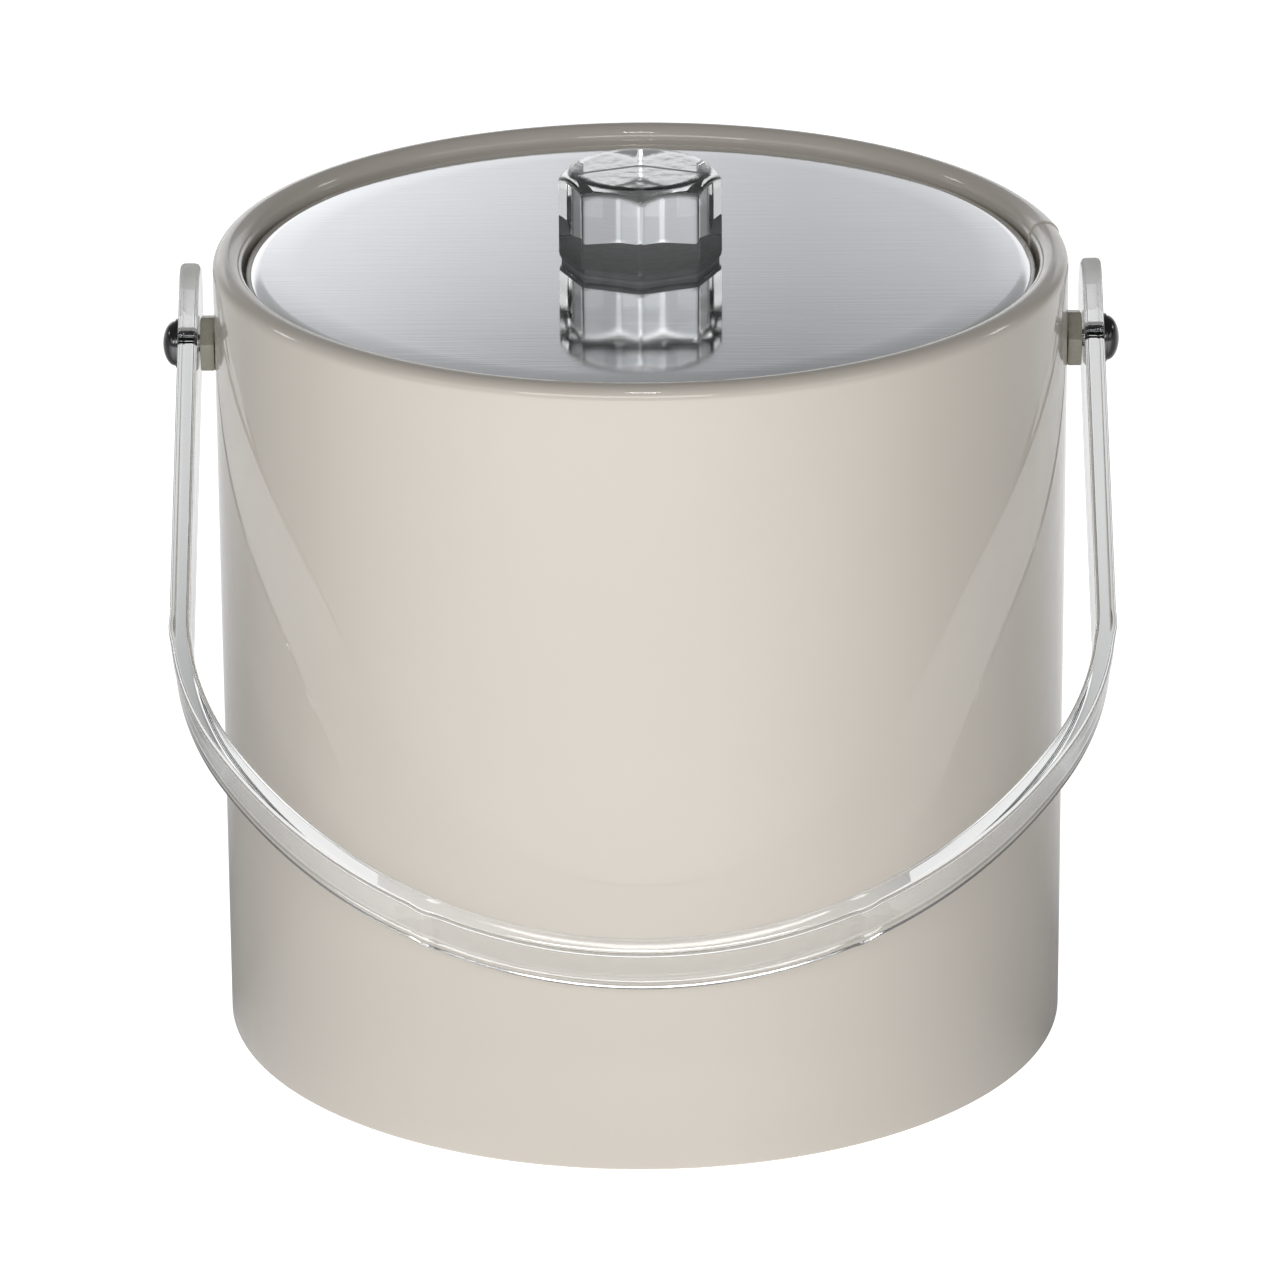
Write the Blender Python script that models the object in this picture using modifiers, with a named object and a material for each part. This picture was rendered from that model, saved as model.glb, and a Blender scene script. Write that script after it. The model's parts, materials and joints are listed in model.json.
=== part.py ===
"""Ice bucket: a vinyl-wrapped, insulated round bucket with a lift-off metal lid and a clear swing handle.

Frame: metres, +Z up, origin at the centre of the base on the surface it stands on.
The front is -Y, where the handle rests against the body. The handle turns about an axis along X.
Run with: blender --background --python part.py
"""

import math

import bmesh
import bpy
from mathutils import Matrix, Vector

# Driving dimensions -----------------------------------------------------------------------------

BODY_R = 0.1016             # outside radius of the wrapped body
BODY_H = 0.1944             # base to the top of the rim
GAP = 0.0003                # clearance between pieces that touch
SEGMENTS = 48               # facets round a large turned piece
SMALL_SEGMENTS = 16         # facets round a fastener

WRAP_T = 0.0008             # vinyl sheet
SHELL_T = 0.0025            # rigid outer tube
RIM_W = 0.0070              # rolled rim, outside to inside
LEDGE_DROP = 0.0089         # rim down to the liner's flange, which carries the lid
BASE_PAD_T = 0.0005
BASE_CAP_T = 0.0030
WRAP_TURN_IN_R = 0.0880     # how far the wrap is turned in under the base
BASE_PAD_R = 0.0970

LINER_T = 0.0020
LINER_MOUTH_R = 0.0840      # inside radius at the mouth
LINER_FLOOR_R = 0.0780      # inside radius above the floor fillet
LINER_FLOOR_Z = 0.0300      # top of the floor
LINER_FILLET = 0.0080

LID_R = 0.0939
LID_DROP = 0.0034           # rim down to the lid's flat top
LID_T = 0.0010
LID_SHOULDER = 0.0039       # width of the rounded edge
LID_SHOULDER_DROP = 0.0012
PLUG_R = 0.0834             # part of the lid that drops into the mouth
PLUG_DEPTH = 0.0094         # how far it drops below the flange
PLUG_T = 0.0015

KNOB_CORNER_R = 0.0195      # octagon, centre to corner
KNOB_H = 0.0217
KNOB_TOP_R = 0.0160         # flat round top inside the turned edge
KNOB_PAD_R = 0.0165
KNOB_PAD_T = 0.0005

PIVOT_Z = 0.1709
SPACER_AF = 0.0127          # hexagon across flats
SPACER_TURN_DEG = 14.3      # front corner stands this far above the horizontal
BORE_R = 0.0023             # clearance bore for the pivot screw
SHANK_R = 0.0020
SHANK_L = 0.0190
HEAD_R = 0.0059
HEAD_H = 0.0038
NUT_AF = 0.0070
NUT_T = 0.0030
WASHER_R = 0.0080
WASHER_T = 0.0012
POCKET_R = 0.0092           # recess in the insulation round the nut

STRAP_W = 0.0223
STRAP_T = 0.0047
STRAP_INNER_X = 0.1052      # inner face at the pivot
STRAP_BEND_S = 0.0895       # where the lines of leg and bow would cross, measured from the pivot
BEND_R = 0.0588             # bend between leg and bow, to the middle of the strap's thickness
BOW_R = 0.1190              # middle of the strap's thickness
BOW_INNER_S = 0.1568        # pivot to the inner face at the middle of the bow
STRAP_END_S = 0.0088        # centre of the round end, above the pivot
STRAP_REST_DEG = 44.5       # legs lean this far forward of straight down
BAND_H = 0.0007             # raised bands across the outer face
BAND_L = 0.0067
BAND_BOW_DEG = 25.1         # bands on the bow, either side of its middle
BAND_BEND_DEG = 86.2        # direction that the band on each bend faces, from straight down

# Derived dimensions -----------------------------------------------------------------------------

WRAP_Z = BASE_PAD_T + GAP
LEDGE_Z = BODY_H - LEDGE_DROP
LID_SKIRT_Z = LEDGE_Z + 2 * GAP
PLUG_Z = LEDGE_Z - PLUG_DEPTH
SHELL_R = BODY_R - WRAP_T - GAP
SHELL_Z = WRAP_Z + WRAP_T + GAP
INNER_R = SHELL_R - SHELL_T - GAP
RIM_C = BODY_R - RIM_W / 2
RIM_Z = BODY_H - RIM_W / 2
BASE_INSULATION_Z = SHELL_Z + BASE_CAP_T + GAP
SLEEVE_Z = LINER_FLOOR_Z - LINER_T
LID_TOP_Z = BODY_H - LID_DROP
KNOB_PAD_Z = LID_TOP_Z + GAP
KNOB_Z = KNOB_PAD_Z + KNOB_PAD_T + GAP
STRAP_MID_X = STRAP_INNER_X + STRAP_T / 2
BOW_CENTRE_S = BOW_INNER_S + STRAP_T / 2 - BOW_R

# Finishes: base colour, roughness, metallic, transmission ----------------------------------------

LOOKS = {
    "vinyl": ((0.62, 0.58, 0.51), 0.16, 0.0, 0.0),
    "board": ((0.55, 0.46, 0.34), 0.80, 0.0, 0.0),
    "foam": ((0.85, 0.85, 0.80), 0.90, 0.0, 0.0),
    "liner": ((0.80, 0.79, 0.75), 0.35, 0.0, 0.0),
    "felt": ((0.08, 0.08, 0.08), 0.95, 0.0, 0.0),
    "lid_metal": ((0.78, 0.79, 0.80), 0.12, 1.0, 0.0),
    "chrome": ((0.30, 0.30, 0.31), 0.10, 1.0, 0.0),
    "zinc": ((0.60, 0.60, 0.58), 0.35, 1.0, 0.0),
    "acrylic": ((0.95, 0.96, 0.96), 0.03, 0.0, 1.0),
    "adhesive": ((0.05, 0.05, 0.05), 0.60, 0.0, 0.0),
}


def clear_scene():
    for old in list(bpy.data.objects):
        bpy.data.objects.remove(old, do_unlink=True)


def new_collection(name):
    collection = bpy.data.collections.new(name)
    bpy.context.scene.collection.children.link(collection)
    return collection


def new_material(node, look):
    colour, roughness, metallic, transmission = LOOKS[look]
    material = bpy.data.materials.new(node)
    material.use_nodes = True
    shader = material.node_tree.nodes["Principled BSDF"]
    shader.inputs["Base Color"].default_value = (*colour, 1.0)
    shader.inputs["Roughness"].default_value = roughness
    shader.inputs["Metallic"].default_value = metallic
    shader.inputs["Transmission Weight"].default_value = transmission
    material.diffuse_color = (*colour, 1.0)
    return material


class Bench:
    """The collection that holds the pieces and the one that holds their cutters."""

    def __init__(self):
        self.parts = new_collection("ice_bucket")
        self.cutters = new_collection("cutters")

    def piece(self, name, mesh, look):
        obj = bpy.data.objects.new(name, mesh)
        self.parts.objects.link(obj)
        mesh.materials.append(new_material(name, look))
        return obj

    def cutter(self, name, mesh):
        obj = bpy.data.objects.new(name, mesh)
        self.cutters.objects.link(obj)
        obj.hide_render = True
        obj.display_type = "WIRE"
        return obj


# Shapes -----------------------------------------------------------------------------------------

def arc(centre, radius, start_deg, end_deg, steps):
    """Points on an arc, each a pair of first and second coordinate."""
    points = []
    for i in range(steps + 1):
        angle = math.radians(start_deg + (end_deg - start_deg) * i / steps)
        points.append((centre[0] + radius * math.cos(angle), centre[1] + radius * math.sin(angle)))
    return points


def profile_mesh(name, profile):
    """An outline in the XZ plane. It closes on itself unless both of its ends lie on the Z axis."""
    mesh = bpy.data.meshes.new(name)
    verts = [(r, 0.0, z) for r, z in profile]
    edges = [(i, i + 1) for i in range(len(verts) - 1)]
    on_axis = profile[0][0] == 0.0 and profile[-1][0] == 0.0
    if not on_axis:
        edges.append((len(verts) - 1, 0))
    mesh.from_pydata(verts, edges, [])
    return mesh


def add_screw(obj, segments):
    screw = obj.modifiers.new("turn", "SCREW")
    screw.axis = "Z"
    screw.angle = 2.0 * math.pi
    screw.steps = segments
    screw.render_steps = segments
    screw.use_merge_vertices = True
    screw.merge_threshold = 0.00001
    screw.use_smooth_shade = True


def turned(bench, name, profile, look, segments=SEGMENTS):
    """A turned piece. Its profile runs down the outer side, top to bottom."""
    obj = bench.piece(name, profile_mesh(name, profile), look)
    add_screw(obj, segments)
    return obj


def turned_cutter(bench, name, profile, segments=SEGMENTS):
    obj = bench.cutter(name, profile_mesh(name, profile))
    add_screw(obj, segments)
    return obj


def prism_mesh(name, sides, radius, depth):
    """A prism along Z with one corner on the X axis."""
    mesh = bpy.data.meshes.new(name)
    bm = bmesh.new()
    bmesh.ops.create_cone(
        bm, cap_ends=True, segments=sides, radius1=radius, radius2=radius, depth=depth)
    corner = max(bm.verts, key=lambda v: v.co.x)
    turn = -math.atan2(corner.co.y, corner.co.x)
    bmesh.ops.rotate(bm, verts=bm.verts, cent=(0, 0, 0), matrix=Matrix.Rotation(turn, 3, "Z"))
    bm.to_mesh(mesh)
    bm.free()
    return mesh


def boolean(obj, cutter, operation="DIFFERENCE"):
    cut = obj.modifiers.new(cutter.name, "BOOLEAN")
    cut.operation = operation
    cut.solver = "EXACT"
    cut.object = cutter


def outline_mesh(name, points, half_depth):
    """A flat outline in the XY plane made thick along Z, as one welded mesh."""
    curve = bpy.data.curves.new(name, "CURVE")
    curve.dimensions = "2D"
    curve.fill_mode = "BOTH"
    curve.extrude = half_depth
    spline = curve.splines.new("POLY")
    spline.points.add(len(points) - 1)
    for point, (x, y) in zip(spline.points, points):
        point.co = (x, y, 0.0, 1.0)
    spline.use_cyclic_u = True
    carrier = bpy.data.objects.new(name + "_outline", curve)
    bpy.context.scene.collection.objects.link(carrier)
    graph = bpy.context.evaluated_depsgraph_get()
    mesh = bpy.data.meshes.new_from_object(carrier.evaluated_get(graph))
    bpy.data.objects.remove(carrier, do_unlink=True)
    bm = bmesh.new()
    bm.from_mesh(mesh)
    bmesh.ops.remove_doubles(bm, verts=bm.verts, dist=0.000001)
    bmesh.ops.recalc_face_normals(bm, faces=bm.faces)
    bm.to_mesh(mesh)
    bm.free()
    mesh.name = name
    return mesh


def aim_along_x(obj, x, z, side):
    """Turn a piece made along Z so that its +Z points out of the body on the given side."""
    obj.location = (side * x, 0.0, z)
    obj.rotation_euler = (0.0, side * math.pi / 2, 0.0)


def bore_cutter(bench, name, radius):
    """A round bar along the pivot axis that goes through both walls."""
    cutter = bench.cutter(name, prism_mesh(name, SMALL_SEGMENTS, radius, 2.4 * BODY_R))
    cutter.location = (0.0, 0.0, PIVOT_Z)
    cutter.rotation_euler = (0.0, math.pi / 2, 0.0)
    return cutter


# Body -------------------------------------------------------------------------------------------

def make_vinyl_wrap(bench, bore):
    """One vinyl sheet: tucked in at the liner, rolled over the rim, down the wall, turned in below."""
    inner_r = BODY_R - RIM_W
    outer_face = [(inner_r, LEDGE_Z + GAP)]
    outer_face += arc((RIM_C, RIM_Z), RIM_W / 2, 180, 0, 6)
    outer_face += [(BODY_R, WRAP_Z), (WRAP_TURN_IN_R, WRAP_Z)]
    back_face = [(WRAP_TURN_IN_R, WRAP_Z + WRAP_T), (BODY_R - WRAP_T, WRAP_Z + WRAP_T)]
    back_face += arc((RIM_C, RIM_Z), RIM_W / 2 - WRAP_T, 0, 180, 6)
    back_face += [(inner_r + WRAP_T, LEDGE_Z + GAP)]
    wrap = turned(bench, "vinyl_wrap", outer_face + back_face, "vinyl")
    boolean(wrap, bore)


def make_rim_ring(bench):
    """The stiff bead under the vinyl at the rim."""
    radius = RIM_W / 2 - WRAP_T - GAP
    profile = arc((RIM_C, RIM_Z), radius, 180, 0, 6)
    profile += [(RIM_C + radius, LEDGE_Z + GAP), (RIM_C - radius, LEDGE_Z + GAP)]
    turned(bench, "rim_ring", profile, "board")


def make_outer_shell(bench, bore):
    inner = SHELL_R - SHELL_T
    profile = [(SHELL_R, LEDGE_Z), (SHELL_R, SHELL_Z), (inner, SHELL_Z), (inner, LEDGE_Z)]
    boolean(turned(bench, "outer_shell", profile, "board"), bore)


def liner_face(radius_shift, floor_z, fillet):
    """Half of the liner's wall, from just under the flange to the middle of the floor."""
    mouth = LINER_MOUTH_R + radius_shift
    floor = LINER_FLOOR_R + radius_shift
    corner = arc((floor - fillet, floor_z + fillet), fillet, 0, -90, 3)
    return mouth, corner + [(0.0, floor_z)]


def make_liner(bench):
    """The inner bucket, with the flange that the lid rests on."""
    outer_mouth, outer_wall = liner_face(LINER_T, LINER_FLOOR_Z - LINER_T, LINER_FILLET + LINER_T)
    inner_mouth, inner_wall = liner_face(0.0, LINER_FLOOR_Z, LINER_FILLET)
    profile = list(reversed(inner_wall))
    profile += [(inner_mouth, LEDGE_Z), (INNER_R, LEDGE_Z), (INNER_R, LEDGE_Z - LINER_T)]
    profile += [(outer_mouth, LEDGE_Z - LINER_T)]
    profile += outer_wall
    turned(bench, "liner", profile, "liner")


def make_insulation(bench, pocket):
    """A foam sleeve round the liner and a foam disc under it."""
    top_z = LEDGE_Z - LINER_T - GAP
    shift = LINER_T + GAP
    floor_r = LINER_FLOOR_R + shift
    profile = [(INNER_R, top_z), (INNER_R, SLEEVE_Z)]
    profile += [(floor_r, SLEEVE_Z), (LINER_MOUTH_R + shift, top_z)]
    boolean(turned(bench, "insulation_sleeve", profile, "foam"), pocket)
    disc_top = SLEEVE_Z - GAP
    disc = [(0.0, disc_top), (INNER_R, disc_top), (INNER_R, BASE_INSULATION_Z), (0.0, BASE_INSULATION_Z)]
    turned(bench, "insulation_base", disc, "foam")


def make_base(bench):
    """The stiff disc that closes the tube, and the felt pad that the bucket stands on."""
    top = SHELL_Z + BASE_CAP_T
    cap = [(0.0, top), (INNER_R, top), (INNER_R, SHELL_Z), (0.0, SHELL_Z)]
    turned(bench, "base_cap", cap, "board")
    pad = [(0.0, BASE_PAD_T), (BASE_PAD_R, BASE_PAD_T), (BASE_PAD_R, 0.0), (0.0, 0.0)]
    turned(bench, "base_pad", pad, "felt")


# Pivots -----------------------------------------------------------------------------------------

def make_pivot(bench, side_name, side, bore):
    """The fasteners on one side: hexagonal spacer, dome-head screw, backing washer and nut."""
    spacer_in = BODY_R + GAP
    spacer_out = STRAP_INNER_X - GAP
    spacer_mesh = prism_mesh(
        "spacer_" + side_name, 6, SPACER_AF / math.sqrt(3), spacer_out - spacer_in)
    spacer_mesh.transform(Matrix.Rotation(math.radians(90 - side * SPACER_TURN_DEG), 4, "Z"))
    spacer = bench.piece("spacer_" + side_name, spacer_mesh, "vinyl")
    aim_along_x(spacer, (spacer_in + spacer_out) / 2, PIVOT_Z, side)
    boolean(spacer, bore)

    head = [(0.0, HEAD_H)]
    for step in (0.25, 0.5, 0.75):
        angle = math.radians(90 - 75 * step)
        head.append((HEAD_R * math.cos(angle), HEAD_H * math.sin(angle)))
    head += [(HEAD_R, 0.0008), (HEAD_R, 0.0)]
    shank = [(SHANK_R, 0.0), (SHANK_R, -SHANK_L), (0.0, -SHANK_L)]
    screw = turned(bench, "pivot_screw_" + side_name, head + shank, "chrome", SMALL_SEGMENTS)
    aim_along_x(screw, STRAP_INNER_X + STRAP_T + GAP, PIVOT_Z, side)

    wall_x = math.sqrt((SHELL_R - SHELL_T) ** 2 - WASHER_R ** 2)
    washer_out = wall_x - 2 * GAP
    washer_profile = [(WASHER_R, WASHER_T), (WASHER_R, 0.0), (BORE_R, 0.0), (BORE_R, WASHER_T)]
    washer = turned(bench, "backing_washer_" + side_name, washer_profile, "zinc", SMALL_SEGMENTS)
    aim_along_x(washer, washer_out - WASHER_T, PIVOT_Z, side)

    nut_out = washer_out - WASHER_T - GAP
    nut_mesh = prism_mesh("pivot_nut_" + side_name, 6, NUT_AF / math.sqrt(3), NUT_T)
    nut = bench.piece("pivot_nut_" + side_name, nut_mesh, "zinc")
    aim_along_x(nut, nut_out - NUT_T / 2, PIVOT_Z, side)
    boolean(nut, bore)


# Handle -----------------------------------------------------------------------------------------

def strap_line():
    """The strap's mid line in its own plane. Returns where(u), and the lengths of half bow and bend.

    Places are (across, down from the pivot). where(u) gives the place and the outward direction at the
    length u from the middle of the bow, which is positive to the right.
    """
    hub = Vector((0.0, BOW_CENTRE_S))
    crossing = math.acos((STRAP_BEND_S - BOW_CENTRE_S) / BOW_R)
    foot = hub + BOW_R * Vector((math.sin(crossing), math.cos(crossing)))
    up = (Vector((STRAP_MID_X, 0.0)) - foot).normalized()
    leg_out = Vector((-up.y, up.x))
    # The bend is an arc that touches the leg's line and, from inside, the bow's circle.
    sideways = (foot - hub).dot(leg_out) - BEND_R
    bend_hub = hub + sideways * leg_out - math.sqrt((BOW_R - BEND_R) ** 2 - sideways ** 2) * up
    bow_angle = math.atan2(bend_hub.x - hub.x, bend_hub.y - hub.y)
    leg_angle = math.atan2(leg_out.x, leg_out.y)
    half_bow = BOW_R * bow_angle
    bend = BEND_R * (leg_angle - bow_angle)

    def where(u):
        length = abs(u)
        if length <= half_bow:
            angle, centre, radius = length / BOW_R, hub, BOW_R
        else:
            angle = min(leg_angle, bow_angle + (length - half_bow) / BEND_R)
            centre, radius = bend_hub, BEND_R
        out = Vector((math.sin(angle), math.cos(angle)))
        place = centre + radius * out + max(0.0, length - half_bow - bend) * up
        if u < 0.0:
            place.x, out.x = -place.x, -out.x
        return place, out

    return where, half_bow, bend


def strap_side(offset, bands):
    """One face of the strap from its left end to its right end, as across and down pairs."""
    where, half_bow, bend = strap_line()
    stops = {half_bow * i / 14: 0.0 for i in range(-14, 15)}
    for i in range(1, 5):
        stops[half_bow + bend * i / 4] = stops[-half_bow - bend * i / 4] = 0.0
    if bands:
        bow_band = BOW_R * math.radians(BAND_BOW_DEG)
        bend_band = half_bow + BEND_R * math.radians(BAND_BEND_DEG) - BEND_R * half_bow / BOW_R
        for centre in (-bend_band, -bow_band, bow_band, bend_band):
            for place in [u for u in stops if abs(u - centre) <= BAND_L * 0.75]:
                del stops[place]
            for sign in (-1, 1):
                stops[centre + sign * (BAND_L / 2 - 0.00002)] = BAND_H
                stops[centre + sign * (BAND_L / 2 + 0.00024)] = 0.0
    reach = half_bow + bend + BOW_INNER_S / 2 + STRAP_W
    points = []
    for u in [-reach] + sorted(stops) + [reach]:
        place, out = where(u)
        points.append(tuple(place + (offset + stops.get(u, 0.0)) * out))
    return points


def make_handle(bench):
    """A clear strap bent to a U, with round ends, a bore at each end and raised bands outside."""
    outer = strap_side(STRAP_T / 2, True)
    inner = strap_side(-STRAP_T / 2, False)
    mesh = outline_mesh("handle_strap", outer + inner[::-1], STRAP_W / 2)
    # The outline's second coordinate runs down, and its thickness lies along the strap's width.
    mesh.transform(Matrix(((1, 0, 0, 0), (0, 0, 1, 0), (0, -1, 0, 0), (0, 0, 0, 1))))
    strap = bench.piece("handle_strap", mesh, "acrylic")
    strap.data.shade_smooth()
    strap.data.set_sharp_from_angle(angle=math.radians(30))

    pivot = bpy.data.objects.new("handle_pivot", None)
    pivot.location = (0.0, 0.0, PIVOT_Z)
    pivot.rotation_euler = (math.radians(-STRAP_REST_DEG), 0.0, 0.0)
    bench.parts.objects.link(pivot)
    strap.parent = pivot

    half = STRAP_W / 2
    ends = arc((0.0, STRAP_END_S), half, 0, 180, 16)
    ends += [(-half - GAP, -BOW_INNER_S - STRAP_W), (half + GAP, -BOW_INNER_S - STRAP_W)]
    rounding = bench.cutter("strap_rounding", outline_mesh("strap_rounding", ends, 1.3 * BODY_R))
    # The capsule is drawn in the side view, so its depth is turned to lie along X.
    rounding.data.transform(Matrix(((0, 0, 1, 0), (1, 0, 0, 0), (0, 1, 0, 0), (0, 0, 0, 1))))
    rounding.parent = pivot
    boolean(strap, rounding, "INTERSECT")

    bore = bench.cutter("strap_bore", prism_mesh("strap_bore", SMALL_SEGMENTS, BORE_R, 2.6 * BODY_R))
    bore.rotation_euler = (0.0, math.pi / 2, 0.0)
    bore.parent = pivot
    boolean(strap, bore)


# Lid --------------------------------------------------------------------------------------------

def lid_edge(inset):
    """The rounded shoulder and skirt of the lid plate, moved in by a given amount."""
    flat_r = LID_R - LID_SHOULDER
    top = LID_TOP_Z - inset
    points = [(0.0, top), (flat_r, top)]
    for share in (0.4, 0.75, 1.0):
        points.append((flat_r + (LID_SHOULDER - inset) * share, top - LID_SHOULDER_DROP * share ** 2))
    points.append((LID_R - inset, LID_SKIRT_Z))
    return points


def make_lid(bench):
    plate = lid_edge(0.0) + lid_edge(LID_T)[::-1]
    turned(bench, "lid_plate", plate, "lid_metal")

    seat_r = LID_R - LID_T - GAP
    seat_z = LEDGE_Z + GAP
    pan = [(PLUG_R - PLUG_T, seat_z + PLUG_T), (seat_r, seat_z + PLUG_T), (seat_r, seat_z)]
    pan += [(PLUG_R, seat_z), (PLUG_R, PLUG_Z), (0.0, PLUG_Z)]
    pan = [(0.0, PLUG_Z + PLUG_T), (PLUG_R - PLUG_T, PLUG_Z + PLUG_T)] + pan
    turned(bench, "lid_underside", pan, "liner")

    core_top = LID_TOP_Z - LID_T - GAP
    core_r = LID_R - LID_SHOULDER - GAP
    step_z = seat_z + PLUG_T + GAP
    plug_r = PLUG_R - PLUG_T - GAP
    core = [(0.0, core_top), (core_r, core_top), (core_r, step_z), (plug_r, step_z)]
    core += [(plug_r, PLUG_Z + PLUG_T + GAP), (0.0, PLUG_Z + PLUG_T + GAP)]
    turned(bench, "lid_core", core, "foam")


def make_knob(bench):
    """A clear octagonal knob with a turned top edge, on a thin dark bonding pad."""
    pad_top = KNOB_PAD_Z + KNOB_PAD_T
    pad = [(0.0, pad_top), (KNOB_PAD_R, pad_top), (KNOB_PAD_R, KNOB_PAD_Z), (0.0, KNOB_PAD_Z)]
    turned(bench, "knob_pad", pad, "adhesive", 32)

    knob = bench.piece("knob", prism_mesh("knob", 8, KNOB_CORNER_R, KNOB_H), "acrylic")
    knob.location = (0.0, 0.0, KNOB_Z + KNOB_H / 2)
    edge = KNOB_CORNER_R + GAP - KNOB_TOP_R
    top_z = KNOB_Z + KNOB_H + GAP
    turning = [(0.0, top_z), (KNOB_TOP_R, top_z)]
    turning += arc((KNOB_TOP_R, top_z - edge), edge, 72, 0, 4)
    turning += arc((KNOB_CORNER_R - 0.0007, KNOB_Z + 0.0005), 0.001, 0, -60, 2)
    turning += [(KNOB_CORNER_R - 0.0012, KNOB_Z - GAP), (0.0, KNOB_Z - GAP)]
    boolean(knob, turned_cutter(bench, "knob_turning", turning, 32), "INTERSECT")


def main():
    clear_scene()
    bench = Bench()
    bore = bore_cutter(bench, "pivot_bore", BORE_R)
    pocket = bore_cutter(bench, "nut_pocket", POCKET_R)
    make_vinyl_wrap(bench, bore)
    make_rim_ring(bench)
    make_outer_shell(bench, bore)
    make_insulation(bench, pocket)
    make_liner(bench)
    make_base(bench)
    make_pivot(bench, "left", -1, bore)
    make_pivot(bench, "right", 1, bore)
    make_handle(bench)
    make_lid(bench)
    make_knob(bench)


main()
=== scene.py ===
"""Looks of the ice bucket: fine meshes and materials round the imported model, with camera, light and floor.

Everything is in metres in the row's frame: +Z up, the front at -Y, the pivot axis along X.
"""

import json
import math

import bmesh
import bpy
from mathutils import Matrix, Vector, noise


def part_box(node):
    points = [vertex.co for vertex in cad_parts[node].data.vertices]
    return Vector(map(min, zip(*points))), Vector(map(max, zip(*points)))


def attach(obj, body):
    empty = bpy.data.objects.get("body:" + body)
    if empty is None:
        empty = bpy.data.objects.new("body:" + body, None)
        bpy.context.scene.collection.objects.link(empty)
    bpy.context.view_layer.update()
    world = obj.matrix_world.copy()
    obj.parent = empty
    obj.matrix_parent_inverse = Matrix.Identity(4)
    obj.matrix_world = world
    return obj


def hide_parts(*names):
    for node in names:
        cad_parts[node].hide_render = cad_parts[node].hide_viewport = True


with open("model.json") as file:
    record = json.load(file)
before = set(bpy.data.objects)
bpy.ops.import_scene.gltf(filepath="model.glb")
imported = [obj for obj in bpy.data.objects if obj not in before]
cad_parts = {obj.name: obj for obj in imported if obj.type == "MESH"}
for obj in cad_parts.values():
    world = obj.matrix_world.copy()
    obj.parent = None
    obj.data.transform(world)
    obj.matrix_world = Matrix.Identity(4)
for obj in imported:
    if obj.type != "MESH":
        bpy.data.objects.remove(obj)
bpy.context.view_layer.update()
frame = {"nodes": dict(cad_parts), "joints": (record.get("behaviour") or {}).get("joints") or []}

# Sizes read from the frame ----------------------------------------------------------------------

WRAP_LOW, WRAP_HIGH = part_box("vinyl_wrap")
BODY_R = WRAP_HIGH.x
BODY_H = WRAP_HIGH.z
LINER_LOW, LINER_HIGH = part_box("liner")
LEDGE_Z = LINER_HIGH.z
LID_LOW, LID_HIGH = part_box("lid_plate")
PAN_LOW, PAN_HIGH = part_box("lid_underside")
KNOB_LOW, KNOB_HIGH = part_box("knob")
PAD_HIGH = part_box("base_pad")[1]
SPACER_LOW, SPACER_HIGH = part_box("spacer_right")
SCREW_LOW, SCREW_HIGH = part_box("pivot_screw_right")
PIVOT_Z = next(j["pos_m"][2] for j in frame["joints"] if j["name"] == "handle_swing")

# Sizes of the design that a box doesn't give ----------------------------------------------------

WRAP_T = 0.0008
WRAP_TURN_IN_R = 0.0880
RIM_W = 0.0070
RIM_C = BODY_R - RIM_W / 2
RIM_Z = BODY_H - RIM_W / 2

LINER_T = 0.0020
LINER_MOUTH_R = 0.0840
LINER_FLOOR_R = 0.0780
LINER_FILLET = 0.0080

LID_T = 0.0010
LID_SHOULDER = 0.0039
LID_SHOULDER_DROP = 0.0012
PLUG_R = 0.0834
PLUG_T = 0.0015

KNOB_TOP_R = 0.0160
STRAP_W = 0.0223
STRAP_T = 0.0047
STRAP_INNER_X = 0.1052
STRAP_BEND_S = 0.0895
BEND_R = 0.0588
BOW_R = 0.1190
BOW_INNER_S = 0.1568
BOW_CENTRE_S = BOW_INNER_S + STRAP_T / 2 - BOW_R
STRAP_END_S = 0.0088
STRAP_REST = math.radians(44.5)
BAND_H = 0.0003
BAND_L = 0.0067
BAND_RAMP = 0.0024
BAND_BOW_DEG = 25.1
BAND_BEND_DEG = 86.2
SPACER_AF = 0.0127
SPACER_TURN = math.radians(14.3)
BORE_R = 0.0023
SHANK_R = 0.0020
HEAD_H = 0.0038
SPACER_SEAT = 0.0004
STRAP_EDGE_R = 0.0012
THREAD_PITCH = 0.0007
THREAD_DEPTH = 0.00035

KNOB_EDGE = 0.0036
KNOB_EDGE_DROP = 0.0026
KNOB_FOOT_R = 0.0009
PAD_RISE = 0.0012

LATHE_STEPS = 288

# The studio -------------------------------------------------------------------------------------

CAMERA_PLACE = (-0.0007, -1.7440, 0.7715)
CAMERA_TILT_DOWN = math.radians(21.224)
CAMERA_ROLL = math.radians(-0.36)
CAMERA_LENS = 217.3
WORLD_STRENGTH = 3.0
PANEL_LEVEL = 0.33
LIGHTS_AIM = (0.0, 0.0, 0.12)
FRONT_GLOW = 1.30
SIDE_GLOW = 0.10
BACK_GLOW = 0.70
GLOW_AT_BODY = 0.66
SEEN_AFTER_GLOSS = 0.65
FLOOR_PALE = 0.80
FLOOR_DARK = 0.12


# Camera, light and floor ------------------------------------------------------------------------

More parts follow.
